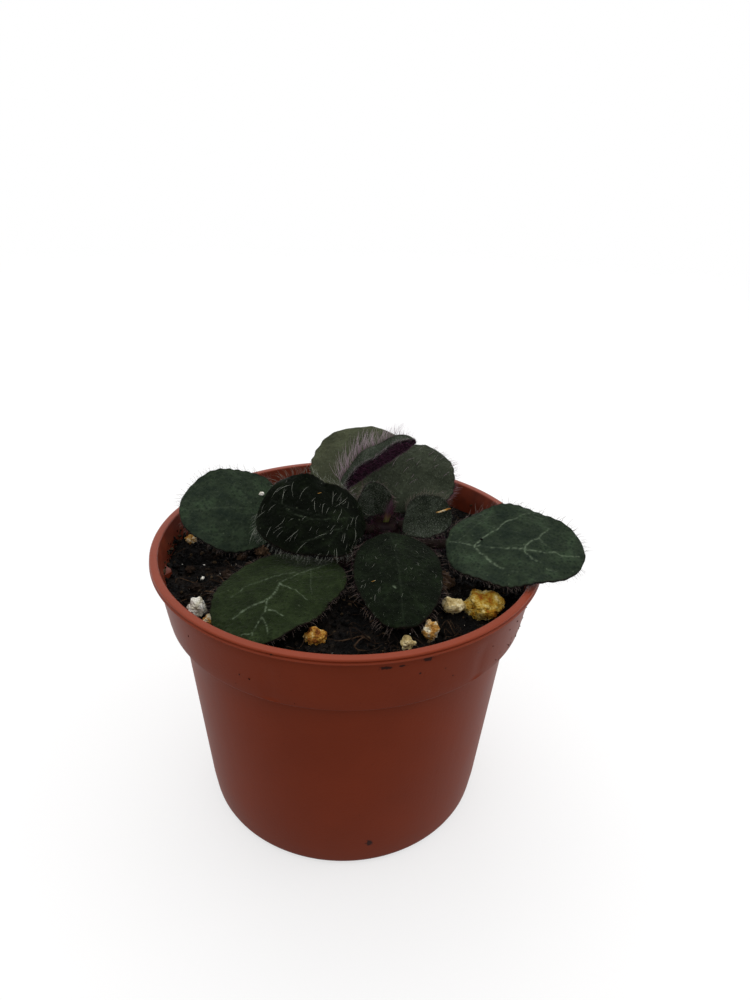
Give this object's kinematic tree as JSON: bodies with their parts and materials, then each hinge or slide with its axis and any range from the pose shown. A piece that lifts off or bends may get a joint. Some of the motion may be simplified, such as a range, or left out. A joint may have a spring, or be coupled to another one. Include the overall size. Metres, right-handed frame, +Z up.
{
  "type": "potted primulina",
  "caption": "Young primulina house plant with hairy dark green leaves from short crowns, in a stepped terracotta-red plastic nursery pot filled with peat soil.",
  "frame": {"origin": "middle of the pot's flat underside", "axes": "+Z up along the pot's axis, -Y towards the front of the plant, +X to its right"},
  "size_m": [0.0972, 0.09, 0.0871],
  "materials": {
    "pot_plastic": "satin moulded polypropylene, terracotta red",
    "peat_soil": "moist dark peat, crumbly and matte",
    "plant_stem": "short fleshy stem, reddish, hairy",
    "leaf_blade": "dark green hairy leaf, pale veins, purple underside",
    "young_leaf": "young leaf, grey-green under dense lilac hairs",
    "white_grain": "perlite, white to cream, matte and pitted",
    "stained_grain": "perlite stained yellow-brown, matte and pitted"
  },
  "bodies": {
    "root": {"pot": "pot_plastic", "soil": "peat_soil", "crown_front": "plant_stem", "crown_back": "plant_stem", "bud": "young_leaf", "leaf_left": "leaf_blade", "leaf_centre_left": "leaf_blade", "leaf_front_left": "leaf_blade", "leaf_front": "leaf_blade", "leaf_right": "leaf_blade", "leaf_back": "leaf_blade", "leaf_back_right": "leaf_blade", "leaf_folded": "young_leaf", "leaf_small_left": "young_leaf", "leaf_small_right": "young_leaf", "grain_gold_large": "stained_grain", "grain_cream": "white_grain", "grain_gold_tall": "stained_grain", "grain_pale": "white_grain", "grain_gold_front": "stained_grain", "grain_white_left": "white_grain", "grain_gold_left": "stained_grain", "grain_tan_left": "stained_grain"}
  },
  "joints": []
}
